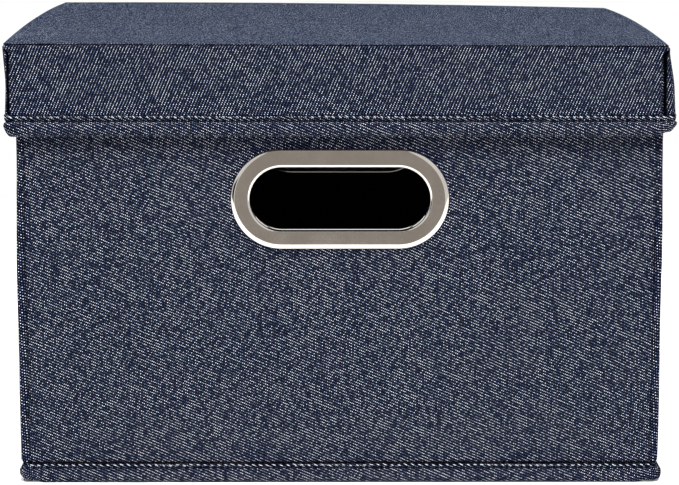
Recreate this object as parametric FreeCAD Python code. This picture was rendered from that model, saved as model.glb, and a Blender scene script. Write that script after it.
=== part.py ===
import FreeCAD, Part
import os

# Fabric storage box with a lift-off lid: board walls covered in denim and lined
# with dark non-woven cloth, an oval chromed hand hole front and back, and a loose
# covered base board with a ribbon tab.
# Millimetres. +X is the width, -Y the front, +Z up. The origin is the centre of
# the underside, on the surface that the box stands on.

Vec = FreeCAD.Vector

# ---- Driving dimensions ----
BODY_WIDTH = 383.0
BODY_DEPTH = 310.0
TOTAL_HEIGHT = 266.2
CORNER_RADIUS = 4.0

DENIM = 0.9
LINING = 0.6
WALL_BOARD = 3.0
BOTTOM_CLOTH = 0.8

LID_LIP_HEIGHT = 54.5
LID_CLEARANCE = 1.4
LID_BOARD = 2.0
LID_LINING = 0.5
LID_REST_GAP = 0.3
LID_CORNER_RADIUS = 3.0
LID_LIP_END_GAP = 4.6

HEM_HEIGHT = 12.0
HEM_THICKNESS = 1.6
HEM_FOLD = 0.8

BINDING_HEIGHT = 12.0
BINDING_THICKNESS = 1.0
BINDING_LIFT = 0.3

BOARD_END_GAP = 3.4
BOARD_CORNER_GAP = 0.6
FOLD_GAP = 2.0

HANDLE_HEIGHT = 173.7
HANDLE_LENGTH = 130.5
HANDLE_WIDTH = 60.4
HOLE_LENGTH = 107.2
HOLE_WIDTH = 38.1
BEZEL_PROUD = 2.2
BEZEL_OUTER_ROUND = 1.5
BEZEL_INNER_ROUND = 0.8
NECK_WALL = 2.0
WALL_HOLE_CLEARANCE = 0.4
BACKING_RING_THICKNESS = 1.6
BACKING_RING_OVERHANG = 7.5

INSERT_BOARD = 2.5
INSERT_CLOTH = 0.6
INSERT_SIDE_GAP = 1.5
INSERT_RING_GAP = 0.7
INSERT_LIFT = 0.2
INSERT_CORNER_RADIUS = 3.0

TAB_WIDTH = 25.0
TAB_LENGTH = 32.0
TAB_THICKNESS = 1.0
TAB_LIFT = 0.3
TAB_SEAM_Y = -112.0

TOLERANCE = 0.01

# ---- Sizes that follow from them ----
WALL = DENIM + WALL_BOARD + LINING
LID_WALL = DENIM + LID_BOARD + LID_LINING

HALF_WIDTH = BODY_WIDTH / 2
HALF_DEPTH = BODY_DEPTH / 2
INNER_HALF_DEPTH = HALF_DEPTH - WALL
INNER_HALF_WIDTH = HALF_WIDTH - WALL

LID_HALF_WIDTH = HALF_WIDTH + LID_CLEARANCE + LID_WALL
LID_HALF_DEPTH = HALF_DEPTH + LID_CLEARANCE + LID_WALL
LID_BOTTOM = TOTAL_HEIGHT - LID_LIP_HEIGHT
LID_LIP_BASE = LID_BOTTOM + HEM_FOLD
LID_BOARD_TOP = TOTAL_HEIGHT - DENIM
LID_BOARD_BOTTOM = LID_BOARD_TOP - LID_BOARD
LID_UNDERSIDE = LID_BOARD_BOTTOM - LID_LINING

WALL_TOP = LID_UNDERSIDE - LID_REST_GAP - DENIM
WALL_HEIGHT = WALL_TOP - BOTTOM_CLOTH

BACKING_INNER_FACE = INNER_HALF_DEPTH - BACKING_RING_THICKNESS
INSERT_HALF_WIDTH = INNER_HALF_WIDTH - INSERT_SIDE_GAP
INSERT_HALF_DEPTH = BACKING_INNER_FACE - INSERT_RING_GAP
INSERT_BASE = BOTTOM_CLOTH + INSERT_LIFT
INSERT_TOP = INSERT_BASE + INSERT_BOARD + 2 * INSERT_CLOTH


def rounded_block(half_x, half_y, z_low, height, radius):
    """Upright block with rounded vertical edges, centred on the Z axis."""
    block = Part.makeBox(2 * half_x, 2 * half_y, height, Vec(-half_x, -half_y, z_low))
    if radius <= 0:
        return block
    upright = [edge for edge in block.Edges if abs(edge.tangentAt(0).z) > 0.5]
    return block.makeFillet(radius, upright)


def rounded_ring(half_x, half_y, thickness, z_low, height, radius):
    """Upright rectangular tube: outer half sizes and outer corner radius given."""
    outer = rounded_block(half_x, half_y, z_low, height, radius)
    inner_radius = max(radius - thickness, 0)
    inner = rounded_block(half_x - thickness, half_y - thickness, z_low, height, inner_radius)
    return outer.cut(inner)


def prism(points, z_low, height):
    """Upright solid over a closed outline of (x, y) points."""
    corners = [Vec(x, y, z_low) for x, y in points]
    outline = Part.makePolygon(corners + corners[:1])
    return Part.Face(outline).extrude(Vec(0, 0, height))


def side_sector(side, half_x, half_y):
    """Region of one side of a rectangular tube, mitred at 45 degrees through its corners."""
    out = 5.0
    deep = 20.0
    long_half, short_half = (half_x, half_y) if side in ("front", "back") else (half_y, half_x)
    outline = [
        (-long_half - out, -short_half - out),
        (long_half + out, -short_half - out),
        (long_half - deep, -short_half + deep),
        (-long_half + deep, -short_half + deep),
    ]
    quarter_turns = {"front": 0, "right": 1, "back": 2, "left": 3}[side]
    sector = prism(outline, -out, TOTAL_HEIGHT + 2 * out)
    sector.rotate(Vec(0, 0, 0), Vec(0, 0, 1), 90 * quarter_turns)
    return sector


def oval_plate(length, width, y_low, y_high):
    """Stadium-shaped plate standing in the XZ plane at handle height."""
    radius = width / 2
    reach = length / 2 - radius
    top = Vec(0, y_low, HANDLE_HEIGHT + radius)
    low = Vec(0, y_low, HANDLE_HEIGHT - radius)
    mid = Vec(0, y_low, HANDLE_HEIGHT)
    side = Vec(reach, 0, 0)
    bulge = Vec(reach + radius, 0, 0)
    outline = Part.Wire([
        Part.LineSegment(top - side, top + side).toShape(),
        Part.Arc(top + side, mid + bulge, low + side).toShape(),
        Part.LineSegment(low + side, low - side).toShape(),
        Part.Arc(low - side, mid - bulge, top - side).toShape(),
    ])
    return Part.Face(outline).extrude(Vec(0, y_high - y_low, 0))


def turned_to_back(shape):
    """Copy of a front piece, turned half round to the back."""
    copy = shape.copy()
    copy.rotate(Vec(0, 0, 0), Vec(0, 0, 1), 180)
    return copy


# ---- Box body ----

def hand_hole_cutter():
    """Cuts the hand hole through the front wall, with room for the handle's neck."""
    grow = 2 * (NECK_WALL + WALL_HOLE_CLEARANCE)
    past_wall = 2.0
    return oval_plate(
        HOLE_LENGTH + grow, HOLE_WIDTH + grow, -HALF_DEPTH - past_wall, -INNER_HALF_DEPTH + past_wall
    )


def end_wall_boards():
    """Front and back wall boards, with the hand hole cut in each."""
    half_length = HALF_WIDTH - BOARD_END_GAP
    outer_face = -HALF_DEPTH + DENIM
    board = Part.makeBox(
        2 * half_length, WALL_BOARD, WALL_HEIGHT, Vec(-half_length, outer_face, BOTTOM_CLOTH)
    )
    front = board.cut(hand_hole_cutter())
    return {"front_wall_board": front, "back_wall_board": turned_to_back(front)}


def side_wall_boards():
    """Left and right wall boards, each in two halves with a fold line between them."""
    half_length = HALF_DEPTH - DENIM - WALL_BOARD - BOARD_CORNER_GAP
    half_board = half_length - FOLD_GAP / 2
    boards = {}
    for side, x_low in (("left", -HALF_WIDTH + DENIM), ("right", HALF_WIDTH - DENIM - WALL_BOARD)):
        for half, y_low in (("front", -half_length), ("rear", FOLD_GAP / 2)):
            corner = Vec(x_low, y_low, BOTTOM_CLOTH)
            boards[f"{side}_wall_board_{half}"] = Part.makeBox(
                WALL_BOARD, half_board, WALL_HEIGHT, corner
            )
    return boards


def wall_skins(suffix, half_x, half_y, thickness, radius):
    """The four panels of the denim cover or of the lining, holed front and back."""
    tube = rounded_ring(half_x, half_y, thickness, BOTTOM_CLOTH, WALL_HEIGHT, radius)
    cutter = hand_hole_cutter()
    tube = tube.cut(cutter).cut(turned_to_back(cutter))
    skins = {}
    for side in ("front", "back", "left", "right"):
        skins[f"{side}_{suffix}"] = tube.common(side_sector(side, half_x, half_y))
    return skins


def bottom_and_edges():
    """Bottom cloth, the band sewn round the bottom edge and the denim over the rim."""
    bottom = rounded_block(HALF_WIDTH, HALF_DEPTH, 0, BOTTOM_CLOTH, CORNER_RADIUS)
    binding = rounded_ring(
        HALF_WIDTH + BINDING_THICKNESS,
        HALF_DEPTH + BINDING_THICKNESS,
        BINDING_THICKNESS,
        BINDING_LIFT,
        BINDING_HEIGHT - BINDING_LIFT,
        CORNER_RADIUS + BINDING_THICKNESS,
    )
    rim = rounded_ring(HALF_WIDTH, HALF_DEPTH, WALL, WALL_TOP, DENIM, CORNER_RADIUS)
    return {"bottom_panel": bottom, "bottom_binding": binding, "rim_binding": rim}


# ---- Handles ----

def face_edges(plate, y_face, half_width):
    """Edges in the plane y = y_face that stay within half_width of the handle's axis."""
    return [
        edge
        for edge in plate.Edges
        if edge.BoundBox.YMax < y_face + TOLERANCE
        and edge.BoundBox.ZMax < HANDLE_HEIGHT + half_width + TOLERANCE
        and edge.BoundBox.ZMin > HANDLE_HEIGHT - half_width - TOLERANCE
    ]


def bezel():
    """Front oval frame with a softened face and a neck that passes through the wall."""
    face = -HALF_DEPTH - BEZEL_PROUD
    plate = oval_plate(HANDLE_LENGTH, HANDLE_WIDTH, face, -HALF_DEPTH)
    plate = plate.makeFillet(BEZEL_OUTER_ROUND, face_edges(plate, face, HANDLE_WIDTH / 2))
    neck_length = HOLE_LENGTH + 2 * NECK_WALL
    neck_width = HOLE_WIDTH + 2 * NECK_WALL
    neck = oval_plate(neck_length, neck_width, -HALF_DEPTH, -BACKING_INNER_FACE)
    hole = oval_plate(HOLE_LENGTH, HOLE_WIDTH, face, -BACKING_INNER_FACE)
    frame = plate.fuse(neck).cut(hole).removeSplitter()
    return frame.makeFillet(BEZEL_INNER_ROUND, face_edges(frame, face, HOLE_WIDTH / 2))


def backing_ring():
    """Flat ring inside the wall that the neck is clinched over."""
    neck_length = HOLE_LENGTH + 2 * NECK_WALL
    neck_width = HOLE_WIDTH + 2 * NECK_WALL
    grow = 2 * BACKING_RING_OVERHANG
    ring = oval_plate(neck_length + grow, neck_width + grow, -INNER_HALF_DEPTH, -BACKING_INNER_FACE)
    return ring.cut(oval_plate(neck_length, neck_width, -INNER_HALF_DEPTH, -BACKING_INNER_FACE))


def handles():
    """Bezel and backing ring in the front wall, and the same pair in the back wall."""
    pieces = {}
    for name, front in (("bezel", bezel()), ("backing_ring", backing_ring())):
        pieces[f"front_handle_{name}"] = front
        pieces[f"back_handle_{name}"] = turned_to_back(front)
    return pieces


# ---- Loose base board ----

def base_insert():
    """Stiff base board sewn into a cloth sleeve, with a ribbon tab to lift it by."""
    height = INSERT_BOARD + 2 * INSERT_CLOTH
    sleeve = rounded_block(
        INSERT_HALF_WIDTH, INSERT_HALF_DEPTH, INSERT_BASE, height, INSERT_CORNER_RADIUS
    )
    board = rounded_block(
        INSERT_HALF_WIDTH - INSERT_CLOTH,
        INSERT_HALF_DEPTH - INSERT_CLOTH,
        INSERT_BASE + INSERT_CLOTH,
        INSERT_BOARD,
        INSERT_CORNER_RADIUS - INSERT_CLOTH,
    )
    tab_corner = Vec(-TAB_WIDTH / 2, TAB_SEAM_Y, INSERT_TOP + TAB_LIFT)
    tab = Part.makeBox(TAB_WIDTH, TAB_LENGTH, TAB_THICKNESS, tab_corner)
    return {
        "base_insert_board": board,
        "base_insert_cover": sleeve.cut(board),
        "base_pull_tab": tab,
    }


# ---- Lid ----

def lid_boards():
    """Stiff board in the lid's top and one in each of its four lips."""
    half_x = LID_HALF_WIDTH - DENIM
    half_y = LID_HALF_DEPTH - DENIM
    height = LID_BOARD_BOTTOM - LID_LIP_BASE
    top = rounded_block(half_x, half_y, LID_BOARD_BOTTOM, LID_BOARD, LID_CORNER_RADIUS - DENIM)
    long_half = LID_HALF_WIDTH - LID_LIP_END_GAP
    short_half = half_y - LID_BOARD - BOARD_CORNER_GAP
    front = Part.makeBox(2 * long_half, LID_BOARD, height, Vec(-long_half, -half_y, LID_LIP_BASE))
    left = Part.makeBox(LID_BOARD, 2 * short_half, height, Vec(-half_x, -short_half, LID_LIP_BASE))
    return {
        "lid_top_board": top,
        "lid_front_lip_board": front,
        "lid_back_lip_board": turned_to_back(front),
        "lid_left_lip_board": left,
        "lid_right_lip_board": turned_to_back(left),
    }


def lid_covers():
    """Denim over the lid's top and over each lip."""
    half_x = LID_HALF_WIDTH
    half_y = LID_HALF_DEPTH
    height = LID_BOARD_TOP - LID_LIP_BASE
    top = rounded_block(half_x, half_y, LID_BOARD_TOP, DENIM, LID_CORNER_RADIUS)
    long_half = half_x - LID_LIP_END_GAP
    short_half = half_y - DENIM - LID_BOARD - BOARD_CORNER_GAP
    front = Part.makeBox(2 * long_half, DENIM, height, Vec(-long_half, -half_y, LID_LIP_BASE))
    left = Part.makeBox(DENIM, 2 * short_half, height, Vec(-half_x, -short_half, LID_LIP_BASE))
    return {
        "lid_top_cover": top,
        "lid_front_lip_cover": front,
        "lid_back_lip_cover": turned_to_back(front),
        "lid_left_lip_cover": left,
        "lid_right_lip_cover": turned_to_back(left),
    }


def lid_lining():
    """Cloth that lines the lid's top and the inside of its lips, as one tray."""
    half_x = LID_HALF_WIDTH - DENIM - LID_BOARD
    half_y = LID_HALF_DEPTH - DENIM - LID_BOARD
    tray = rounded_block(half_x, half_y, LID_LIP_BASE, LID_BOARD_BOTTOM - LID_LIP_BASE, 0)
    hollow = rounded_block(
        half_x - LID_LINING, half_y - LID_LINING, LID_LIP_BASE, LID_UNDERSIDE - LID_LIP_BASE, 0
    )
    return {"lid_lining": tray.cut(hollow)}


def lid_hem():
    """Band sewn round the lips' lower edge, folded under them."""
    band = rounded_ring(
        LID_HALF_WIDTH + HEM_THICKNESS,
        LID_HALF_DEPTH + HEM_THICKNESS,
        HEM_THICKNESS,
        LID_BOTTOM,
        HEM_HEIGHT,
        LID_CORNER_RADIUS + HEM_THICKNESS,
    )
    fold = rounded_ring(
        LID_HALF_WIDTH, LID_HALF_DEPTH, LID_WALL, LID_BOTTOM, HEM_FOLD, LID_CORNER_RADIUS
    )
    return {"lid_hem_band": band.fuse(fold).removeSplitter()}


def lid_gussets():
    """Tucked-in strip of denim at each corner, between one lip's end and the next lip's."""
    lip_end_x = LID_HALF_WIDTH - LID_LIP_END_GAP
    side_end_y = LID_HALF_DEPTH - DENIM - LID_BOARD - BOARD_CORNER_GAP
    outer = LID_HALF_WIDTH
    front = LID_HALF_DEPTH
    tuck = DENIM + LID_BOARD
    strip = [
        (lip_end_x, front),
        (lip_end_x, front - DENIM),
        (outer - tuck, front - tuck),
        (outer - DENIM, side_end_y),
        (outer, side_end_y),
        (outer - tuck + DENIM, front - tuck + DENIM),
    ]
    height = LID_BOARD_BOTTOM - LID_LIP_BASE
    gussets = {}
    for depth_name, y_sign in (("front", -1), ("back", 1)):
        for side_name, x_sign in (("left", -1), ("right", 1)):
            outline = [(x_sign * x, y_sign * y) for x, y in strip]
            gussets[f"lid_gusset_{depth_name}_{side_name}"] = prism(outline, LID_LIP_BASE, height)
    return gussets


def all_pieces():
    """Every separate piece of the box, by node name."""
    pieces = {}
    pieces.update(end_wall_boards())
    pieces.update(side_wall_boards())
    pieces.update(wall_skins("cover", HALF_WIDTH, HALF_DEPTH, DENIM, CORNER_RADIUS))
    lining_x = INNER_HALF_WIDTH + LINING
    lining_y = INNER_HALF_DEPTH + LINING
    pieces.update(wall_skins("lining", lining_x, lining_y, LINING, 0))
    pieces.update(bottom_and_edges())
    pieces.update(handles())
    pieces.update(base_insert())
    pieces.update(lid_boards())
    pieces.update(lid_covers())
    pieces.update(lid_lining())
    pieces.update(lid_hem())
    pieces.update(lid_gussets())
    return pieces


os.makedirs("parts", exist_ok=True)
for node, shape in all_pieces().items():
    shape.exportStep(f"parts/{node}.step")
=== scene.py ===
import math
import random
from collections import namedtuple
from functools import reduce
from itertools import chain

import bmesh
import bpy
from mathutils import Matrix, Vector, noise


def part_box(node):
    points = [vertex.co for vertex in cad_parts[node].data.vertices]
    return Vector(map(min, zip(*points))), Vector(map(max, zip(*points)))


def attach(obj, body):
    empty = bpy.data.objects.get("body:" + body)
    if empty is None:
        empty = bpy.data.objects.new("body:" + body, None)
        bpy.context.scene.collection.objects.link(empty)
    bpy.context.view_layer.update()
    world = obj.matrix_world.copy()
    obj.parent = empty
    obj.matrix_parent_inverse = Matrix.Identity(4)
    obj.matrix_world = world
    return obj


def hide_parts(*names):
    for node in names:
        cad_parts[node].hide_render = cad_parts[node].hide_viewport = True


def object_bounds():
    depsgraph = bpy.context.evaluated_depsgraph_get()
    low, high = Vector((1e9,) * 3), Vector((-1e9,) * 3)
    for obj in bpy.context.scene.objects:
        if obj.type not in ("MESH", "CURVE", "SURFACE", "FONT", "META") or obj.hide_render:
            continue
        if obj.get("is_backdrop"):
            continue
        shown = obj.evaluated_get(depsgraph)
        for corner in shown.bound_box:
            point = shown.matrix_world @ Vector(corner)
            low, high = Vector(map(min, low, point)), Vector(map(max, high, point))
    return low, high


# Denim storage box with a lift-off lid. Metres, in the frame's axes: +X right,
# -Y front, +Z up, origin under the middle of the box.

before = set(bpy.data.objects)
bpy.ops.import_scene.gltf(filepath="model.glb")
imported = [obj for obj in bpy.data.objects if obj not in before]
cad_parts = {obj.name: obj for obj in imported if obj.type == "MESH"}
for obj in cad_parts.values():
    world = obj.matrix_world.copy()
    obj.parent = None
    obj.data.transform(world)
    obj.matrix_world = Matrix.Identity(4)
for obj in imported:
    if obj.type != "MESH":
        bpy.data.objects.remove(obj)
CAD_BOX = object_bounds()

MM = 0.001

# ---- Places taken from the frame ----
BODY_X, BODY_Y, WALL_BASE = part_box("bottom_panel")[1]
RIM_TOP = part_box("rim_binding")[1][2]
LINING_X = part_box("right_lining")[1][0]
LINING_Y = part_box("back_lining")[1][1]
BAND_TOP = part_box("bottom_binding")[1][2]

LID_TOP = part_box("lid_top_cover")[1][2]
LID_X, LID_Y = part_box("lid_top_cover")[1][:2]
LIP_END_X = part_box("lid_front_lip_cover")[1][0]
LIP_END_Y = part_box("lid_right_lip_cover")[1][1]
HEM_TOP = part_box("lid_hem_band")[1][2]
LID_LINING_X, LID_LINING_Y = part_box("lid_lining")[1][:2]
LID_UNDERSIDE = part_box("lid_top_board")[0][2]

BEZEL_LOW, BEZEL_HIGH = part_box("front_handle_bezel")
BEZEL_LENGTH = (BEZEL_HIGH[0] - BEZEL_LOW[0]) / 2
BEZEL_WIDTH = (BEZEL_HIGH[2] - BEZEL_LOW[2]) / 2
RING_LOW, RING_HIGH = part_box("front_handle_backing_ring")
HANDLE_Z = (BEZEL_LOW[2] + BEZEL_HIGH[2]) / 2
INSERT_LOW, INSERT_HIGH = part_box("base_insert_cover")
TAB_LOW, TAB_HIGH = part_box("base_pull_tab")

# ---- Sizes of the cloth work ----
CORNER_RADIUS = 3.2 * MM
SIDE_SWELL = 1.2 * MM
WALL = BODY_X - LINING_X + 0.6 * MM
DENIM_THICKNESS = 0.7 * MM
LINING_THICKNESS = 0.5 * MM
RIM_FOLD_START = RIM_TOP - 2.2 * MM
RIM_FOLD_RISE = 2.1 * MM
RIM_FOLD_LENGTH = 6 * MM
RIM_STEPS = 7
STITCH_PITCH = 4.2 * MM
CREASE_INSET = 0.4 * MM
LID_STITCH_Z = HEM_TOP - 0.5 * MM
BAND_STITCH_Z = BAND_TOP - 1.4 * MM
BODY_SEAM_Z = BAND_STITCH_Z + 1.2 * MM
# The stitches and the edge of the cloth turned in behind the rim, in mm below the fold's start.
RIM_STITCH_DROP = 11.5
RIM_TURN_IN = 14.0

# ---- The lid as it lies: shifted and slightly twisted ----
LID_SHIFT_TOP = -2.2 * MM
LID_SHIFT_HEM = 0.2 * MM
LID_PANEL_SHIFT = -2.7 * MM
LID_BULGE = 0.6 * MM
LID_FLARE = 2.2 * MM
LID_BOW = 1.3 * MM
LID_ARCH = 2.4 * MM
LID_TILT_FRONT = 0.7 * MM
LID_TILT_GROWTH = 1.4 * MM
LID_EDGE_RADIUS = 1.6 * MM
TOP_X = LID_X - LID_EDGE_RADIUS
TOP_Y = LID_Y - LID_EDGE_RADIUS
LIP_OVERHANG = 0.2 * MM
TUCK_OFFSET = 40 * MM
LID_LINING_RADIUS = 17 * MM

# ---- Camera ----
CAMERA_PLACE = (-5.4 * MM, -BODY_Y - 1462 * MM, 394.8 * MM)
CAMERA_PITCH = 9.60
CAMERA_YAW = -0.20
CAMERA_LENS = 131.7
SENSOR_WIDTH = 36.0


# ======== Shader helper ========

class Graph:
    """Adds and links the nodes of one node tree."""

    def __init__(self, owner):
        owner.use_nodes = True
        self.nodes = owner.node_tree.nodes
        self.links = owner.node_tree.links

    def put(self, socket, value):
        """Links value into socket if it is an output, or else sets it."""
        if isinstance(value, bpy.types.NodeSocket):
            self.links.new(value, socket)
        else:
            socket.default_value = value

    def add(self, kind, inputs=(), **settings):
        """A new node with its settings, and its inputs given by name or number."""
        node = self.nodes.new(kind)
        for key, value in settings.items():
            setattr(node, key, value)
        for key, value in dict(inputs).items():
            self.put(node.inputs[key], value)
        return node

    def math(self, operation, a, b=0.0, c=0.0, clamp=False):
        inputs = {0: a, 1: b, 2: c}
        return self.add("ShaderNodeMath", inputs, operation=operation, use_clamp=clamp).outputs[0]

    def times(self, *values):
        return reduce(lambda a, b: self.math("MULTIPLY", a, b), values)

    def plus(self, *values):
        return reduce(lambda a, b: self.math("ADD", a, b), values)

    def minus(self, a, b):
        return self.math("SUBTRACT", a, b)

    def over(self, a, b):
        return self.math("DIVIDE", a, b)

    def cell(self, place):
        """The number of the cell that a place is in, and how far it is from the cell's middle."""
        return self.math("FLOOR", place), self.minus(self.math("FRACT", place), 0.5)

    def vector(self, operation, a, b):
        return self.add("ShaderNodeVectorMath", {0: a, 1: b}, operation=operation).outputs[0]

    def scaled(self, vector, factor):
        return self.add("ShaderNodeVectorMath", {0: vector, "Scale": factor}, operation="SCALE").outputs[0]

    def split(self, vector):
        return self.add("ShaderNodeSeparateXYZ", {0: vector}).outputs

    def remap(self, value, low, high, to_low=0.0, to_high=1.0, smooth=False):
        kind = "SMOOTHSTEP" if smooth else "LINEAR"
        inputs = {"Value": value, "From Min": low, "From Max": high, "To Min": to_low, "To Max": to_high}
        return self.add("ShaderNodeMapRange", inputs, interpolation_type=kind).outputs[0]

    def between(self, share, low, high):
        """low where share is 0, high where it is 1."""
        return self.remap(share, 0.0, 1.0, low, high)

    def noise(self, vector, scale, detail=2.0, roughness=0.5, output="Fac"):
        inputs = {"Vector": vector, "Scale": scale, "Detail": detail, "Roughness": roughness}
        return self.add("ShaderNodeTexNoise", inputs).outputs[output]

    def random(self, a, b):
        """A random number from 0 to 1 for each pair of whole numbers."""
        cell = self.add("ShaderNodeCombineXYZ", {0: a, 1: b}).outputs[0]
        return self.add("ShaderNodeTexWhiteNoise", {"Vector": cell}, noise_dimensions="2D").outputs["Value"]

    def mix(self, factor, a, b):
        node = self.add("ShaderNodeMix", data_type="RGBA", clamp_factor=True)
        self.put(node.inputs[0], factor)
        self.put(node.inputs[6], a)
        self.put(node.inputs[7], b)
        return node.outputs[2]


class Shader(Graph):
    """The nodes of one material."""

    def __init__(self, name):
        self.material = bpy.data.materials.new(name)
        super().__init__(self.material)
        self.surface = self.nodes["Principled BSDF"]

    def cloth_mm(self, shift=0.0):
        """Place on the flat cloth, in millimetres."""
        flat = self.add("ShaderNodeUVMap", uv_map="cloth").outputs[0]
        return self.vector("ADD", self.scaled(flat, 1 / MM), (shift, 0.37 * shift, 0.0))

    def inside(self, place, centre, half):
        """1 inside a rectangle of the flat cloth and 0 outside, with a soft edge 0.6 mm wide."""
        beyond = []
        for axis in (0, 1):
            off = self.math("ABSOLUTE", self.minus(place[axis], centre[axis]))
            beyond.append(self.minus(off, half[axis]))
        return self.remap(self.math("MAXIMUM", *beyond), 0.3, -0.3, smooth=True)

    def space_mm(self):
        """Place in the object's space, in millimetres."""
        return self.scaled(self.add("ShaderNodeTexCoord").outputs["Object"], 1 / MM)

    def finish(self, color, roughness, height=None, depth=0.1 * MM, strength=1.0, **fixed):
        """Wires the surface: colour, roughness, bump height, and fixed values for other sockets."""
        self.put(self.surface.inputs["Base Color"], color)
        self.put(self.surface.inputs["Roughness"], roughness)
        for key, value in fixed.items():
            self.surface.inputs[key.replace("_", " ")].default_value = value
        if height is not None:
            bump = self.add("ShaderNodeBump", {"Height": height, "Distance": depth, "Strength": strength})
            self.put(self.surface.inputs["Normal"], bump.outputs[0])
        return self.material


# ======== Materials ========

# The twill: yarn pitches in millimetres on the flat cloth. Each weft shows over one warp in SHAFTS,
# as a fleck whose half sizes are shares of one weft's pitch and of SHAFTS warps.
WARP_PITCH = 0.447
WEFT_PITCH = 1.01
WEFT_SLANT = 0.04
SHAFTS = 4
FLECK_LEAN = 0.2
FLECK_HALF_WIDTH = 0.28
FLECK_HALF_LENGTH = 0.145

# Colours of the yarns, and tints that paint shade and light onto parts of the cloth: dark lines of painted
# shade in seams, folds, creases and tucks, and painted light on the lid's top.
ALL_ALONG = 5000.0
PAINTED_SEAM_SHADE = (0.08, 0.08, 0.10)
PAINTED_FOLD_SHADE = (0.16, 0.16, 0.18)
PAINTED_CREASE_SHADE = (0.35, 0.35, 0.35)
PAINTED_STITCH_BED_SHADE = (0.65, 0.66, 0.70)
PAINTED_TUCK_SHADE = (0.06, 0.06, 0.07)
PAINTED_TOP_LIGHT = (0.82, 0.95, 1.05)
NAVY_DEEP = (0.0002, 0.0004, 0.0014, 1)
NAVY = (0.0004, 0.0018, 0.0105, 1)
WEFT_DULL = (0.33, 0.43, 0.80, 1)
WEFT_WHITE = (1.0, 0.95, 1.0, 1)


def wandering(s, cloth):
    """The flat cloth with its yarns a little out of line: a wide drift and a fine jitter."""
    drift = s.noise(cloth, 0.045, 1.0, output="Color")
    jitter = s.noise(cloth, 0.35, 1.0, output="Color")
    for source, amount in ((drift, 1.0), (jitter, 0.2)):
        cloth = s.vector("ADD", cloth, s.scaled(s.vector("SUBTRACT", source, (0.5, 0.5, 0.5)), amount))
    return cloth


def weft_amount(s, cloth, column, chance, fleck):
    """How much of the pale weft shows: uneven from fleck to fleck, yarn to yarn and patch to patch."""
    bright = s.between(s.math("POWER", chance, 1.7), 0.24, 1.6)
    streak = s.between(s.random(column, 7.0), 0.88, 1.10)
    patches = s.remap(s.noise(cloth, 0.16, 3.0), 0.32, 0.68, 0.92, 1.06)
    return s.times(fleck, bright, streak, patches)


def warp_color(s, across, yarn, round_yarn, fuzz, distance):
    """Navy warp yarns, darker between yarns and beside the weft flecks."""
    chance = s.random(yarn, s.math("FLOOR", s.over(across, 19.0)))
    beside = s.remap(distance, 1.2, 2.2, 0.0, 1.0, smooth=True)
    tone = s.times(
        s.between(chance, 0.55, 1.25), s.remap(fuzz, 0.3, 0.7, 0.5, 1.4),
        s.between(round_yarn, 0.35, 1.0), s.between(beside, 0.25, 1.2),
    )
    return s.mix(tone, NAVY_DEEP, NAVY)


def denim(name, turned=False, shift=0.0, strips=()):
    """Twill: navy warp floats with a pale weft fleck every fourth yarn, stepped one yarn each column.
    strips lists where shade and light are painted on: middle and half size on the flat cloth in mm, and
    tint."""
    s = Shader(name)
    cloth = wandering(s, s.cloth_mm(shift))
    across, along, _ = s.split(cloth)
    if turned:
        across, along = along, s.times(across, -1.0)

    column, from_column = s.cell(s.math("MULTIPLY_ADD", along, WEFT_SLANT, s.over(across, WEFT_PITCH)))
    stepped = s.math("MULTIPLY_ADD", from_column, FLECK_LEAN, column)
    row_place = s.math("MULTIPLY_ADD", stepped, 1 / SHAFTS, s.over(along, SHAFTS * WARP_PITCH))
    row, from_row = s.cell(row_place)
    wide = s.math("POWER", s.over(from_column, FLECK_HALF_WIDTH), 2.0)
    tall = s.math("POWER", s.over(from_row, FLECK_HALF_LENGTH), 2.0)
    distance = s.math("SQRT", s.plus(wide, tall))
    fleck = s.remap(distance, 1.05, 0.50, smooth=True)
    chance = s.random(column, row)

    yarn, from_yarn = s.cell(s.times(row_place, SHAFTS))
    round_yarn = s.remap(s.math("ABSOLUTE", from_yarn), 0.5, 0.1, 0.0, 1.0, smooth=True)
    fuzz = s.noise(cloth, 2.6, 3.0, 0.65)

    warp = warp_color(s, across, yarn, round_yarn, fuzz, distance)
    weft = s.mix(chance, WEFT_DULL, WEFT_WHITE)
    color = s.mix(weft_amount(s, cloth, column, chance, fleck), warp, weft)
    place = s.split(s.cloth_mm())
    # Tints over strips of the flat cloth paint shade into seams, folds, creases and tucks, and paint light
    # onto the lid's top.
    for centre, half, tint in strips:
        color = s.mix(s.inside(place, centre, half), color, s.vector("MULTIPLY", color, tint))

    height = s.plus(s.times(round_yarn, 0.45), s.times(fleck, 0.8))
    height = s.math("MULTIPLY_ADD", fuzz, 0.4, height)
    return s.finish(
        color, s.remap(fuzz, 0.3, 0.7, 0.78, 0.95), height, depth=0.16 * MM, strength=0.7,
        Sheen_Weight=0.06, Sheen_Roughness=0.12, Sheen_Tint=(0.03, 0.45, 1.0, 1), Specular_IOR_Level=0.005,
    )


def nonwoven(name, color_low, color_high):
    """Pressed fibre cloth with a grid of small bonded dots."""
    s = Shader(name)
    cloth = s.cloth_mm()
    across, along, _ = s.split(cloth)
    dot_pitch = 1.5
    row, from_row = s.cell(s.over(along, dot_pitch))
    half_step = s.times(s.math("MODULO", row, 2.0), 0.5)
    _, from_column = s.cell(s.plus(s.over(across, dot_pitch), half_step))
    off = s.math("SQRT", s.plus(s.math("POWER", from_row, 2.0), s.math("POWER", from_column, 2.0)))
    dot = s.remap(off, 0.30, 0.20, smooth=True)
    fibres = s.noise(cloth, 3.2, 4.0, 0.7)
    clouds = s.noise(cloth, 0.06, 3.0)
    tone = s.times(
        s.remap(fibres, 0.3, 0.7), s.remap(clouds, 0.3, 0.7, 0.7, 1.0), s.between(dot, 1.0, 0.45)
    )
    color = s.mix(tone, color_low, color_high)
    height = s.minus(s.times(fibres, 0.5), dot)
    roughness = s.between(dot, 0.9, 0.6)
    return s.finish(color, roughness, height, depth=0.12 * MM, strength=0.6, Sheen_Weight=0.1)


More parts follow.
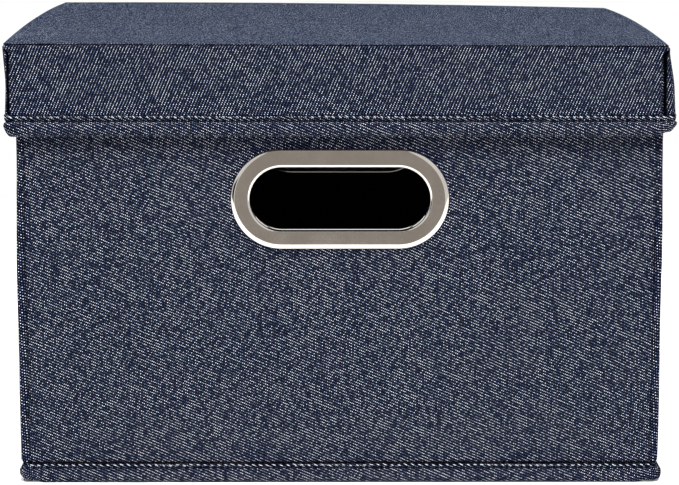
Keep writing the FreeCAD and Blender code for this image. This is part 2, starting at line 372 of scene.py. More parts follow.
def thread(name):
    """Two-ply sewing thread: the plies show as slanting ridges along each stitch."""
    s = Shader(name)
    along, around, _ = s.split(s.cloth_mm())
    turns = s.math("MULTIPLY_ADD", along, 7.0, around)
    ply = s.remap(s.math("SINE", turns), -1.0, 1.0, smooth=True)
    fuzz = s.noise(s.space_mm(), 4.0, 3.0, 0.6)
    tone = s.times(s.between(ply, 0.45, 1.0), s.remap(fuzz, 0.3, 0.7, 0.7, 1.0))
    color = s.mix(tone, (0.12, 0.13, 0.17, 1), (0.64, 0.67, 0.74, 1))
    roughness = s.remap(fuzz, 0.3, 0.7, 0.6, 0.8)
    return s.finish(color, roughness, ply, depth=0.1 * MM, strength=0.6, Sheen_Weight=0.2)


def chrome(name):
    """Bright warm-grey plated metal with faint polishing marks."""
    s = Shader(name)
    place = s.space_mm()
    smears = s.noise(place, 0.08, 3.0, 0.6)
    marks = s.noise(place, 1.7, 2.0, 0.5)
    color = s.mix(s.remap(smears, 0.35, 0.65), (0.56, 0.525, 0.485, 1), (0.61, 0.575, 0.535, 1))
    roughness = s.remap(smears, 0.3, 0.7, 0.03, 0.06)
    return s.finish(color, roughness, marks, depth=0.001 * MM, strength=0.1, Metallic=1.0)


def grey_board(name):
    """Pressed grey board with flecks of fibre."""
    s = Shader(name)
    place = s.space_mm()
    pulp = s.noise(place, 0.5, 5.0, 0.7)
    specks = s.remap(s.noise(place, 1.6, 2.0, 0.5), 0.62, 0.70)
    base = s.mix(s.remap(pulp, 0.3, 0.7), (0.22, 0.20, 0.175, 1), (0.36, 0.33, 0.29, 1))
    color = s.mix(specks, base, (0.10, 0.09, 0.08, 1))
    return s.finish(color, s.remap(pulp, 0.3, 0.7, 0.8, 0.95), pulp, depth=0.15 * MM, strength=0.5)


def ribbon(name):
    """Ribbed black ribbon."""
    s = Shader(name)
    across, along, _ = s.split(s.cloth_mm())
    ribs = s.remap(s.math("SINE", s.times(along, 7.5)), -1.0, 1.0)
    fine = s.remap(s.math("SINE", s.times(across, 16.0)), -1.0, 1.0)
    height = s.math("MULTIPLY_ADD", fine, 0.3, ribs)
    color = s.mix(s.remap(height, 0.0, 1.3), (0.006, 0.007, 0.010, 1), (0.030, 0.034, 0.045, 1))
    return s.finish(color, s.between(ribs, 0.6, 0.42), height, depth=0.12 * MM, strength=0.7)


def white_floor(name):
    """Pale matt surface under the box."""
    s = Shader(name)
    grain = s.noise(s.space_mm(), 0.01, 2.0)
    color = s.mix(grain, (0.90, 0.90, 0.90, 1), (0.93, 0.93, 0.93, 1))
    return s.finish(color, 0.9, Emission_Color=(1, 1, 1, 1), Emission_Strength=0.12)


# ======== Mesh helpers ========

class Cloth:
    """Collects grids of points into one mesh that carries its flat-cloth coordinates."""

    def __init__(self, rows=(), coords=(), **options):
        self.points = []
        self.faces = []
        self.coords = []
        if rows:
            self.grid(rows, coords, **options)

    def grid(self, rows, coords, closed=False, keep=None):
        """Quads over rows of points. A closed grid joins its last column to its first;
        its coords have one column more. keep(row, column) says which quads stay."""
        first = len(self.points)
        count = len(rows[0])
        for row in rows:
            self.points.extend(row)
        for i in range(len(rows) - 1):
            for j in range(count if closed else count - 1):
                if keep is not None and not keep(i, j):
                    continue
                after = (j + 1) % count
                corners = ((i, j, j), (i, after, j + 1), (i + 1, after, j + 1), (i + 1, j, j))
                self.faces.append([first + r * count + c for r, c, _ in corners])
                self.coords.extend(coords[r][flat] for r, _, flat in corners)

    def cap(self, ring, coords, flip=False):
        """One face that closes a ring of points; flip turns it over."""
        first = len(self.points)
        self.points.extend(ring)
        order = list(range(len(ring)))
        if flip:
            order.reverse()
        self.faces.append([first + k for k in order])
        self.coords.extend(coords[k] for k in order)

    def object(self, name, material, body, slot, merge=0.001 * MM, thickness=0.0):
        """The finished piece, riding on a body."""
        mesh = bpy.data.meshes.new(name)
        mesh.from_pydata([tuple(p) for p in self.points], [], self.faces)
        layer = mesh.uv_layers.new(name="cloth")
        for loop, coord in zip(layer.data, self.coords):
            loop.uv = coord
        weld(mesh, merge)
        piece = shown(name, mesh, material)
        if thickness:
            skin = piece.modifiers.new("thickness", "SOLIDIFY")
            skin.thickness = thickness
            skin.offset = -1.0
        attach(piece, body)
        return piece


def shown(name, mesh, material):
    """A mesh made into an object of the scene."""
    mesh.materials.append(material)
    piece = bpy.data.objects.new(name, mesh)
    bpy.context.scene.collection.objects.link(piece)
    return piece


def weld(mesh, distance):
    """Merges coincident points, drops empty faces and shades the mesh smooth."""
    work = bmesh.new()
    work.from_mesh(mesh)
    bmesh.ops.remove_doubles(work, verts=work.verts, dist=distance)
    bmesh.ops.dissolve_degenerate(work, edges=work.edges, dist=distance)
    for face in work.faces:
        face.smooth = True
    work.to_mesh(mesh)
    work.free()


def smoothstep(value):
    value = min(max(value, 0.0), 1.0)
    return value * value * (3 - 2 * value)


def bell(distance, width):
    return math.exp(-((distance / width) ** 2))


def ripple(u, v, seed, size, height):
    """Gentle unevenness of cloth: size is the distance between swells."""
    return height * noise.noise(Vector((u / size, v / size, seed)))


def turned_over(rows):
    """The same rows, run the other way so that the cloth faces the other side."""
    return [row[::-1] for row in rows]


def sign(value):
    return math.copysign(1.0, value)


def running_lengths(points):
    """How far along a row of points each of them is."""
    lengths = [0.0]
    for a, b in zip(points, points[1:]):
        lengths.append(lengths[-1] + math.dist(a, b))
    return lengths


def spread(length, step, fine, fine_length):
    """Distances from 0 to length: fine steps near both ends, larger ones between."""
    fine_count = round(fine_length / fine)
    middle = length - 2 * fine_length
    count = max(1, round(middle / step))
    near = [fine * k for k in range(fine_count)]
    far = [fine_length + middle * k / count for k in range(count + 1)]
    return near + far + [length - d for d in reversed(near)]


# Part 0 to 8: straight parts are even and corners odd. share is the way along the part, along
# the distance round the whole loop, and to_corner the distance to the nearest end of a corner.
Station = namedtuple("Station", "part share along to_corner")


def centred(half, step, fine, fine_length):
    """Places from -half to half, closer together near both ends."""
    return [d - half for d in spread(2 * half, step, fine, fine_length)]


class Loop:
    """Stations round a rectangle with rounded corners, anticlockwise seen from above,
    from the middle of the back. The same stations can be placed on any such rectangle."""

    def __init__(self, half_x, half_y, radius, step, fine, fine_length, corner_steps):
        self.size = (half_x, half_y, radius)
        self.stations = []
        x, y = half_x - radius, half_y - radius
        runs = (x, 2 * y, 2 * x, 2 * y, x)
        arc = radius * math.pi / 2
        along = 0.0
        for number, length in enumerate(runs):
            for d in spread(length, step, fine, fine_length)[:-1]:
                to_corner = min(d if number else length, length - d if number < 4 else length)
                self.stations.append(Station(2 * number, d / length, along + d, to_corner))
            along += length
            if number < 4:
                for k in range(corner_steps):
                    share = k / corner_steps
                    d = arc * share
                    self.stations.append(Station(2 * number + 1, share, along + d, min(d, arc - d)))
                along += arc
        self.length = along

    def place(self, station, half_x, half_y, radius):
        """Point and outward direction of a station on a rectangle of that size."""
        part, share = station.part, station.share
        x, y = half_x - radius, half_y - radius
        if part % 2:
            cx, cy, start = {1: (-x, y, 90), 3: (-x, -y, 180), 5: (x, -y, 270), 7: (x, y, 0)}[part]
            angle = math.radians(start + 90 * share)
            out = Vector((math.cos(angle), math.sin(angle), 0))
            return Vector((cx, cy, 0)) + out * radius, out
        start, end, out = {
            0: ((0, half_y), (-x, half_y), (0, 1)),
            2: ((-half_x, y), (-half_x, -y), (-1, 0)),
            4: ((-x, -half_y), (x, -half_y), (0, -1)),
            6: ((half_x, -y), (half_x, y), (1, 0)),
            8: ((x, half_y), (0, half_y), (0, 1)),
        }[part]
        return Vector((*start, 0)).lerp(Vector((*end, 0)), share), Vector((*out, 0))

    def ring(self, half_x, half_y, radius):
        return [self.place(station, half_x, half_y, radius) for station in self.stations]

    def flat(self, v):
        """Flat-cloth coordinates of one row, closed."""
        return [(station.along, v) for station in self.stations] + [(self.length, v)]


# ======== Box body ========

# The hand hole in the frame, and the larger cut in the cloth: half sizes.
HOLE_LENGTH = 107.2 / 2 * MM
HOLE_WIDTH = 38.1 / 2 * MM
CUT_LENGTH = HOLE_LENGTH + 2.6 * MM
CUT_WIDTH = HOLE_WIDTH + 2.6 * MM
CUT_REACH = CUT_LENGTH - CUT_WIDTH


def oval_point(angle_share, half_length, half_width):
    """Point and outward direction on an upright oval: share 0 to 1 runs once round it."""
    straight = 2 * (half_length - half_width)
    arc = math.pi * half_width
    d = angle_share * 2 * (straight + arc)
    side = 1
    if d >= straight + arc:
        d -= straight + arc
        side = -1
    if d < straight:
        return Vector((side * (d - straight / 2), 0, side * half_width)), Vector((0, 0, side))
    angle = math.pi / 2 - (d - straight) / half_width
    out = Vector((side * math.cos(angle), 0, side * math.sin(angle)))
    return Vector((side * straight / 2, 0, 0)) + out * half_width, out


def inside_cut(point):
    """How far a point is inside the cloth's oval cut; negative outside."""
    return CUT_WIDTH - math.hypot(max(abs(point.x) - CUT_REACH, 0.0), point.z - HANDLE_Z)


def hole_keeper(rows):
    """Says which quads of a wall grid stay, so that both hand holes are open."""
    count = len(rows[0])

    def keep(i, j):
        after = (j + 1) % count
        centre = sum((rows[i][j], rows[i][after], rows[i + 1][j], rows[i + 1][after]), Vector()) / 4
        return inside_cut(centre) < 0 or abs(centre.y) < BODY_Y / 2

    return keep


def trim_hole(rows):
    """Moves the points beside a hand hole onto its oval edge."""
    for point in chain(*rows):
        if abs(inside_cut(point)) < 2.2 * MM and abs(point.y) > BODY_Y / 2:
            centre_x = min(max(point.x, -CUT_REACH), CUT_REACH)
            dx, dz = point.x - centre_x, point.z - HANDLE_Z
            size = math.hypot(dx, dz)
            point.x = centre_x + dx * CUT_WIDTH / size
            point.z = HANDLE_Z + dz * CUT_WIDTH / size


def body_relief(station, out, z):
    """How far the denim stands off the flat wall."""
    part, _, along, to_corner = station
    height_share = (z - WALL_BASE) / (RIM_TOP - WALL_BASE)
    relief = ripple(along, z, 3.1, 60 * MM, 0.45 * MM) + ripple(along, z, 8.7, 17 * MM, 0.14 * MM)
    relief += 0.6 * MM * (1 - height_share) - 0.3 * MM
    relief += 0.35 * MM * smoothstep(1 - to_corner / (5 * MM)) + 0.15 * MM * (part % 2)
    relief -= 0.75 * MM * bell(to_corner - CREASE_INSET, 0.55 * MM)
    free = smoothstep((z - BODY_SEAM_Z) / (2.5 * MM))
    relief = relief * free - 0.7 * MM * (1 - free)
    side_swell = 0.9 + 0.5 * math.sin(math.pi * height_share) - 0.6 * smoothstep((height_share - 0.5) / 0.3)
    relief += abs(out.x) * SIDE_SWELL * (side_swell - 0.25 * out.x)
    return relief


def body_heights(top):
    """Heights of the body's rows, close together where the band's seam pulls the cloth in."""
    heights = [WALL_BASE, BODY_SEAM_Z - 5 * MM] + [BODY_SEAM_Z + 0.5 * k * MM for k in range(-4, 9)]
    start = heights[-1]
    count = round((top - start) / (3.2 * MM))
    return heights + [start + (top - start) * k / count for k in range(1, count + 1)]


def body_loop():
    """Stations round the walls' denim."""
    return Loop(BODY_X, BODY_Y, CORNER_RADIUS, 3.2 * MM, 0.5 * MM, 3 * MM, 10)


def wall_rows(loop, ring, heights, stand_off):
    """Rows up a wall, stand_off(station, out, z) from the ring, and their flat coordinates."""
    rows = []
    for z in heights:
        row = []
        for station, (point, out) in zip(loop.stations, ring):
            spot = point + out * stand_off(station, out, z)
            row.append(Vector((spot.x, spot.y, z)))
        rows.append(row)
    return rows, [loop.flat(z) for z in heights]


def rim_rows(loop, outer, turned):
    """Rows over the rim and down behind it to the turned-in edge, with their flat coordinates."""
    rows = []
    coords = []
    for k in range(1, RIM_STEPS):
        angle = math.pi * k / RIM_STEPS
        share = (1 - math.cos(angle)) / 2
        z = RIM_FOLD_START + RIM_FOLD_RISE * math.sin(angle)
        rows.append([a.lerp(b, share) + Vector((0, 0, z)) for (a, _), (b, _) in zip(outer, turned)])
        coords.append(loop.flat(RIM_FOLD_START + RIM_FOLD_LENGTH * share))
    for d in (0.0, 3.0, 6.0, 9.0, RIM_STITCH_DROP, 12.6, RIM_TURN_IN):
        z = RIM_FOLD_START - d * MM
        pressed = 0.35 * MM * bell(d - RIM_STITCH_DROP, 1.0)
        rows.append([point + out * pressed + Vector((0, 0, z)) for point, out in turned])
        coords.append(loop.flat(RIM_FOLD_START + RIM_FOLD_LENGTH + d * MM))
    return rows, coords


def body_denim(material):
    """The denim of the four walls, folded over the rim and turned in behind it."""
    loop = body_loop()
    outer = loop.ring(BODY_X, BODY_Y, CORNER_RADIUS)
    turned = loop.ring(BODY_X - WALL - 0.2 * MM, BODY_Y - WALL - 0.2 * MM, 1.0 * MM)
    rows, coords = wall_rows(loop, outer, body_heights(RIM_FOLD_START), body_relief)
    over_rows, over_coords = rim_rows(loop, outer, turned)
    rows += over_rows
    coords += over_coords
    trim_hole(rows)
    cloth = Cloth(rows, coords, closed=True, keep=hole_keeper(rows))
    piece = cloth.object("body_denim", material, "box", "denim", thickness=DENIM_THICKNESS)
    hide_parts("front_cover", "back_cover", "left_cover", "right_cover", "rim_binding")


def lining_relief(station, _, z):
    """How far the lining stands off its board; it lies tight at the corners."""
    swell = ripple(station.along, z, 21.5, 80 * MM, 0.5 * MM) - 0.15 * MM
    return -swell * min(1.0, station.to_corner / (6 * MM))


def body_lining(material):
    """Lining of the four walls."""
    loop = Loop(LINING_X, LINING_Y, 2 * MM, 5 * MM, 1.5 * MM, 3 * MM, 4)
    ring = loop.ring(LINING_X - LINING_THICKNESS, LINING_Y - LINING_THICKNESS, 2 * MM)
    heights = [WALL_BASE + d for d in spread(RIM_TOP - 3 * MM - WALL_BASE, 5 * MM, 1 * MM, 6 * MM)]
    rows, coords = wall_rows(loop, ring, heights, lining_relief)
    rows, coords = turned_over(rows), turned_over(coords)
    trim_hole(rows)
    cloth = Cloth(rows, coords, closed=True, keep=hole_keeper(rows))
    piece = cloth.object("body_lining", material, "box", "dark_lining", thickness=0.4 * MM)
    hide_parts("front_lining", "back_lining", "left_lining", "right_lining")


def level_flat(ring, shift=0.0):
    """Flat coordinates of a ring of cloth that lies level, closed."""
    row = [(point.x, point.y + shift) for point, _ in ring]
    return row + row[:1]


def corner_share(station, front_reach, side_reach):
    """1 at the middle of a corner, falling to 0 at a distance beyond its ends."""
    if station.part % 2:
        return 1.0
    reach = side_reach if station.part in (2, 6) else front_reach
    return smoothstep(1 - station.to_corner / reach)


def edge_loop(half_x, half_y, radius, fine_length):
    """Stations close enough together for the puckers of a folded band, and their ring."""
    loop = Loop(half_x, half_y, radius, 1.3 * MM, 0.7 * MM, fine_length, 8)
    return loop, loop.ring(*loop.size)


def folded_band(loop, ring, section, place):
    """A band sewn round an edge. section lists, in mm, the drop below the stitches and the
    stand-off from the ring; place turns these into a point at each station."""
    rows = []
    for drop, stand in section:
        rows.append([place(*where, drop, stand) for where in zip(loop.stations, ring)])
    coords = [loop.flat(-length * MM) for length in running_lengths(section)]
    return Cloth(rows[::-1], coords[::-1], closed=True)


def band_loop():
    """Stations and ring of the box's bottom edge."""
    return edge_loop(BODY_X, BODY_Y, 5.5 * MM, 5 * MM)


BAND_SECTION = (
    (1.0, -0.5), (0.9, 0.3), (0.1, 0.35), (-0.9, 0.2), (-1.8, -0.4), (-2.6, 0.7), (-4.0, 1.45),
    (-6.5, 1.6), (-8.8, 1.4), (-10.1, 0.8), (-10.7, -0.3), (-10.85, -3.0), (-10.85, -6.0),
)


def band_point(station, spot, drop, stand):
    """A point of the bottom band, lifted and drawn in at the corners and puckered by the stitches."""
    point, out = spot
    soft = corner_share(station, 7 * MM, 12 * MM)
    lift = 1.2 * MM * soft * smoothstep(-drop / 10.0)
    pull = (0.9 - 0.7 * sign(point.x)) * MM * soft * smoothstep((-drop - 6.0) / 5.0)
    pucker = 0.16 * MM * math.cos(2 * math.pi * station.along / STITCH_PITCH) * bell(drop, 2.2)
    wave = ripple(station.along, drop * MM, 14.2, 22 * MM, 0.35 * MM)
    swell = abs(out.x) * (1.7 + 0.2 * out.x) * SIDE_SWELL * smoothstep(0.3 - drop / 3)
    moved = point + out * (stand * MM - pull + pucker + swell + wave * smoothstep(stand))
    return Vector((moved.x, moved.y, BAND_STITCH_Z + drop * MM + lift))


def bottom_band(material):
    """The folded band sewn round the bottom edge, softly rounded at the corners."""
    cloth = folded_band(*band_loop(), BAND_SECTION, band_point)
    piece = cloth.object("bottom_band", material, "box", "denim", thickness=0.5 * MM)
    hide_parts("bottom_binding")


def bottom_cloth(material):
    """Cloth under the box, sewn in by the band."""
    half_x = BODY_X - 3 * MM
    half_y = BODY_Y - 3 * MM
    xs = centred(half_x, 8 * MM, 2 * MM, 4 * MM)
    ys = centred(half_y, 8 * MM, 2 * MM, 4 * MM)[::-1]
    rows = []
    for y in ys:
        row = []
        for x in xs:
            edge = min(half_x - abs(x), half_y - abs(y))
            z = 0.35 * MM + ripple(x, y, 31.0, 45 * MM, 0.3 * MM) * smoothstep(edge / (8 * MM))
            row.append(Vector((x, y, max(z, 0.1 * MM))))
        rows.append(row)
    cloth = Cloth(rows, [[(x, y) for x in xs] for y in ys])
    piece = cloth.object("bottom_cloth", material, "box", "dark_lining", thickness=0.4 * MM)
    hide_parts("bottom_panel")


# ======== Stitches ========

STITCH_STEPS = 6
STITCH_SIDES = 6


def add_stitch(cloth, centre, out, length, radius, slant, number):
    """One stitch: a short thread that rises out of the cloth and dives back in."""
    direction = Vector((-out.y, out.x, 0)) * math.cos(slant) + Vector((0, 0, math.sin(slant)))
    side = out.cross(direction).normalized()
    angles = [2 * math.pi * m / STITCH_SIDES for m in range(STITCH_SIDES + 1)]
    rows = []
    coords = []
    for k in range(STITCH_STEPS + 1):
        share = k / STITCH_STEPS
        rise = math.sin(math.pi * share)
        middle = centre + direction * length * (share - 0.5) + out * radius * (1.3 * rise - 0.9)
        thick = radius * (0.35 + 0.65 * math.sqrt(rise))
        rows.append([middle + (side * math.cos(a) + out * math.sin(a)) * thick for a in angles[:-1]])
        coords.append([(length * share + number * MM, a * MM) for a in angles])
    cloth.grid(rows, coords, closed=True)
    cloth.cap(rows[0], coords[0], flip=True)
    cloth.cap(rows[-1], coords[-1])


def evenly(loop, ring, pitch):
    """Points and outward directions at an even pitch along a ring of stations."""
    count = round(loop.length / pitch)
    marks = [station.along for station in loop.stations] + [loop.length]
    index = 0
    for number in range(count):
        along = (number + 0.5) * loop.length / count
        while marks[index + 1] < along:
            index += 1
        share = (along - marks[index]) / (marks[index + 1] - marks[index])
        (a, out_a), (b, out_b) = ring[index], ring[(index + 1) % len(ring)]
        yield a.lerp(b, share), out_a.lerp(out_b, share).normalized()


def stitch_row(name, material, body, loop, ring, height, stand, look, seed):
    """Stitches along a ring at one height, standing a little off it.
    look gives their pitch, length, radius and slant in degrees."""
    pitch, length, radius, slant = look
    chooser = random.Random(seed)
    cloth = Cloth()
    for number, (point, out) in enumerate(evenly(loop, ring, pitch)):
        wobble = chooser.uniform(-0.25, 0.25) * MM
        size = length * chooser.uniform(0.82, 1.12)
        turn = math.radians(slant + chooser.uniform(-7, 7))
        thick = radius * chooser.uniform(0.85, 1.1)
        centre = point + out * stand + Vector((0, 0, height + wobble))
        add_stitch(cloth, centre, out, size, thick, turn, number)
    cloth.object(name, material, body, "denim", merge=0.0)


def bottom_stitches(material):
    """Stitches through the bottom band."""
    look = (STITCH_PITCH, 2.8 * MM, 0.25 * MM, -22)
    height = BAND_STITCH_Z + 0.3 * MM
    stitch_row("bottom_stitches", material, "box", *band_loop(), height, 0.25 * MM, look, 11)


def rim_stitches(material):
    """Stitches that hold the turned-in denim inside the rim."""
    inset = WALL + 0.75 * MM
    loop = Loop(BODY_X - inset, BODY_Y - inset, 1 * MM, 4 * MM, 1 * MM, 3 * MM, 4)
    ring = [(point, -out) for point, out in loop.ring(*loop.size)]
    look = (STITCH_PITCH, 2.9 * MM, 0.4 * MM, 0)
    height = RIM_FOLD_START - RIM_STITCH_DROP * MM
    stitch_row("rim_stitches", material, "box", loop, ring, height, 0.05 * MM, look, 12)


# ======== Handles ========

OVAL_STEPS = 168


def oval_sweep(name, profile, place_y, facing, material):
    """Sweeps a closed section round an oval. The section gives, at each corner, the
    share of the way from the hole's edge to the outer edge, and how far it stands out."""
    rows = []
    coords = []
    for share, stand in profile:
        half_length = HOLE_LENGTH + (BEZEL_LENGTH - HOLE_LENGTH) * share
        half_width = HOLE_WIDTH + (BEZEL_WIDTH - HOLE_WIDTH) * share
        row = []
        for k in range(OVAL_STEPS):
            point, _ = oval_point(k / OVAL_STEPS, half_length, half_width)
            row.append(Vector((point.x * -facing, place_y + facing * stand, point.z + HANDLE_Z)))
        rows.append(row)
        coords.append([(k / OVAL_STEPS, share) for k in range(OVAL_STEPS + 1)])
    rows.append(rows[0])
    coords.append(coords[0])
    return Cloth(rows, coords, closed=True).object(name, material, "box", "chromed_frame")


def ellipse_arc(centre, radii, start, end, steps):
    """Points on an arc of a section; angles in degrees."""
    points = []
    for k in range(steps + 1):
        angle = math.radians(start + (end - start) * k / steps)
        points.append((centre[0] + radii[0] * math.cos(angle), centre[1] + radii[1] * math.sin(angle)))
    return points


def bezel_profile():
    """Section of the chromed frame, in millimetres: across from the hole's edge, and out from the wall."""
    width = (BEZEL_WIDTH - HOLE_WIDTH) / MM
    proud = (-BODY_Y - BEZEL_LOW[1]) / MM
    neck_depth = (BODY_Y + BEZEL_HIGH[1]) / MM
    inner = (1.7, 1.4)
    outer = (3.0, 1.95)
    points = [(0.0, -neck_depth), (0.0, -neck_depth * 0.5), (0.0, proud - inner[1] - 0.4)]
    points += ellipse_arc((inner[0], proud - inner[1]), inner, 180, 90, 10)
    points += [(inner[0] + 0.3, proud), (width / 2, proud), (width - outer[0] - 0.3, proud)]
    points += ellipse_arc((width - outer[0], proud - outer[1]), outer, 90, 0, 14)
    points += [(width, 0.1), (width - 0.2, 0.0), (2.0, 0.0), (2.0, -neck_depth)]
    return [(across / width, out * MM) for across, out in points]


def ring_profile():
    """Section of the flat ring behind the wall, in millimetres."""
    width = (BEZEL_WIDTH - HOLE_WIDTH) / MM
    reach = ((RING_HIGH[2] - RING_LOW[2]) / 2 - HOLE_WIDTH) / MM
    thick = (RING_HIGH[1] - RING_LOW[1]) / MM
    edge = 0.6
    points = [(2.05, 0.0), (2.05, thick)]
    points += ellipse_arc((reach - edge, thick - edge), (edge, edge), 90, 0, 4)
    points += [(reach, 0.0)]
    return [(across / width, out * MM) for across, out in points]


def handles(material):
    """A chromed frame outside and a flat ring inside the front wall, and the same at the back."""
    for name, facing in (("front", -1), ("back", 1)):
        bezel = oval_sweep(f"{name}_handle_frame", bezel_profile(), facing * BODY_Y, facing, material)
        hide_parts(f"{name}_handle_bezel")
        behind = facing * abs(RING_LOW[1])
        ring = oval_sweep(f"{name}_handle_ring", ring_profile(), behind, -facing, material)
        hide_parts(f"{name}_handle_backing_ring")


# ======== Lid ========

def hem_share(z):
    """0 at the lid's top, 1 at the hem's seam."""
    return min(max((LID_TOP - z) / (LID_TOP - LID_STITCH_Z), 0.0), 1.0)


def settle(point, side_lip):
    """Moves a point of the lid from square to how the lid lies: shifted, arched and tilted.
    side_lip is 1 on the left and right lips, which lean out below the shifted top."""
    down = hem_share(point.z)
    depth = (point.y + LID_Y) / (2 * LID_Y)
    across = point.x / LID_X
    arch = LID_ARCH * (1 - (2 * depth - 1) ** 2)
    tilt = -across * (LID_TILT_FRONT + LID_TILT_GROWTH * depth)
    lean = smoothstep(1.6 * down)
    low_shift = LID_PANEL_SHIFT + (LID_SHIFT_HEM - LID_PANEL_SHIFT) * side_lip
    shift = LID_SHIFT_TOP + (low_shift - LID_SHIFT_TOP) * lean
    bulge = across * (LID_BULGE * math.sin(math.pi * down) + LID_FLARE * down ** 2.5) * side_lip
    narrow = -across * 3.2 * MM * depth ** 2 * (1 - down)
    bow = LID_BOW * (1 - across * across) * depth
    lift = (arch + tilt + bow) * (1 - down)
    return Vector((point.x + shift + narrow + bulge, point.y, point.z + lift))


# The lid's edge in section, from the top board's edge to the lip's face: distance out and
# drop, in millimetres. The cloth sinks a little into the gap between the two boards.
EDGE_SECTION = (
    (0.0, 0.0), (0.6, 0.08), (1.05, 0.35), (0.9, 0.7), (0.0, 1.0), (0.95, 1.35), (1.5, 1.75), (1.6, 2.4),
)


def edge_rows():
    """The lid's edge and lip in section: how far out from the edge's start, and the drop below the top."""
    rows = [(out * MM, drop * MM) for out, drop in EDGE_SECTION]
    for d in (2.6, 4.0, 6.0, 8.0, 12.0, 16.0, 20.0, 24.0, 28.0, 32.0, 36.0, 38.5, 40.2):
        rows.append((LID_EDGE_RADIUS, LID_EDGE_RADIUS + d * MM))
    rows.append((LID_EDGE_RADIUS - 0.35 * MM, LID_TOP - LID_STITCH_Z - 0.3 * MM))
    return rows


def from_side(side, along, out):
    """x and y of a place along one of the lid's sides and out from its middle. Sides are
    numbered 0 front, 1 right, 2 back and 3 left, anticlockwise seen from above."""
    return ((along, -out), (out, along), (-along, out), (-out, -along))[side]


def drawn_in(side, drop):
    """Lengths along a lip, against those at the top edge: the cloth ends just past the board below."""
    top, low = ((TOP_X, LIP_END_X), (TOP_Y, LIP_END_Y))[side % 2]
    share = smoothstep((drop - LID_EDGE_RADIUS) / (4 * MM))
    return 1 + ((low + LIP_OVERHANG) / top - 1) * share


def lip_cloth(side, run, section):
    """The settled points of one lip, row by row down the section, and their flat coordinates."""
    reach = (TOP_Y, TOP_X)[side % 2]
    rows = []
    coords = []
    for (out, drop), length in zip(section, running_lengths(section)):
        share = drawn_in(side, drop)
        row = []
        for along in run:
            swell = ripple(along, drop, 5.0 + side, 50 * MM, 0.35 * MM) * smoothstep(drop / (6 * MM))
            x, y = from_side(side, along * share, reach + out + swell)
            row.append(settle(Vector((x, y, LID_TOP - drop)), side % 2))
        rows.append(row)
        coords.append([from_side(side, along * share, reach + length) for along in run])
    return rows, coords


# Tuck of the cloth at a corner, seen from above: outwards from the end of the front or back
# panel, then inwards from that panel's face, in millimetres. It ends on the side lip's nose.
TUCK = ((0.3, 0.5), (0.4, 1.8), (0.5, 5.5), (1.5, 6.8), (3.1, 6.3), (3.3, 2.4), (4.0, 1.5), (5.4, 1.1))


def corner_columns(panel, lip, drop, openness):
    """Points from the end of a front or back panel to the end of a side lip: a rounded corner
    at the top edge that opens into a tuck further down."""
    outward = sign(lip.x - panel.x)
    inward = -sign(panel.y)
    corner = Vector((lip.x, panel.y, panel.z))
    opened = smoothstep((drop - 1.2 * MM) / (6 * MM))
    width = abs(lip.x - panel.x)
    fit = openness * min(1.0, width / (7 * MM))
    columns = []
    for k, (along, depth) in enumerate(TUCK):
        angle = math.pi / 2 * (k + 1) / (len(TUCK) + 1)
        arc = panel.lerp(corner, math.sin(angle)) + (lip - corner) * (1 - math.cos(angle))
        tucked = panel + Vector((outward * along * fit, inward * depth * min(fit, 1.0), 0)) * MM
        columns.append(arc.lerp(tucked, opened))
    nose = Vector((lip.x - outward * 0.7 * MM, panel.y + inward * 1.9 * MM, lip.z))
    columns[-1] = columns[-1].lerp(nose, 0.3 * opened)
    return columns


def corner_cloth(side, lip, following, section):
    """The cloth between the ends of one lip and the following one, and its flat coordinates."""
    openness = 1.1 if side == 0 else 0.9
    rows = []
    coords = []
    for (_, drop), row, flat, next_row in zip(section, *lip, following[0]):
        first, last = row[-1], next_row[0]
        if side % 2:
            middle = corner_columns(last, first, drop, openness)[::-1]
        else:
            middle = corner_columns(first, last, drop, openness)
        corner = [first, *middle, last]
        lengths = running_lengths(corner)
        start_u, start_v = flat[-1]
        steps = [from_side(side, TUCK_OFFSET + d - lengths[-1] / 2, 0) for d in lengths]
        rows.append(corner)
        coords.append([(start_u + du, start_v + dv) for du, dv in steps])
    return rows, coords


def lid_top_rows(xs, ys):
    """The settled points of the lid's top, with gentle swells away from its edges."""
    rows = []
    for y in ys:
        row = []
        for x in xs:
            edge = min(TOP_X - abs(x), TOP_Y - abs(y))
            swell = ripple(x, y, 40.0, 90 * MM, 0.8 * MM) + ripple(x, y, 41.0, 30 * MM, 0.25 * MM)
            row.append(settle(Vector((x, y, LID_TOP + swell * smoothstep(edge / (15 * MM)))), 0.0))
        rows.append(row)
    return rows


def lid_denim(material):
    """One sheet over the lid's top and four lips, tucked in at the corners."""
    xs = centred(TOP_X, 4 * MM, 1 * MM, 4 * MM)
    ys = centred(TOP_Y, 4 * MM, 1 * MM, 4 * MM)
    cloth = Cloth(lid_top_rows(xs, ys), [[(x, y) for x in xs] for y in ys])
    section = edge_rows()
    lips = [lip_cloth(side, run, section) for side, run in enumerate((xs, ys, xs, ys))]
    for side, lip in enumerate(lips):
        for rows, coords in (lip, corner_cloth(side, lip, lips[(side + 1) % 4], section)):
            cloth.grid(rows[::-1], coords[::-1])
    piece = cloth.object("lid_denim", material, "lid", "denim", merge=0.02 * MM, thickness=0.5 * MM)
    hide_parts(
        "lid_top_cover", "lid_front_lip_cover", "lid_back_lip_cover", "lid_left_lip_cover",
        "lid_right_lip_cover", "lid_gusset_front_left", "lid_gusset_front_right",
        "lid_gusset_back_left", "lid_gusset_back_right",
    )


def hem_loop():
    """Stations and ring of the lips' lower edge, where the settled lips end."""
    loop, ring = edge_loop(LID_X + LID_FLARE, LID_Y, 4.5 * MM, 7 * MM)
    return loop, [(point + Vector((LID_SHIFT_HEM, 0, 0)), out) for point, out in ring]


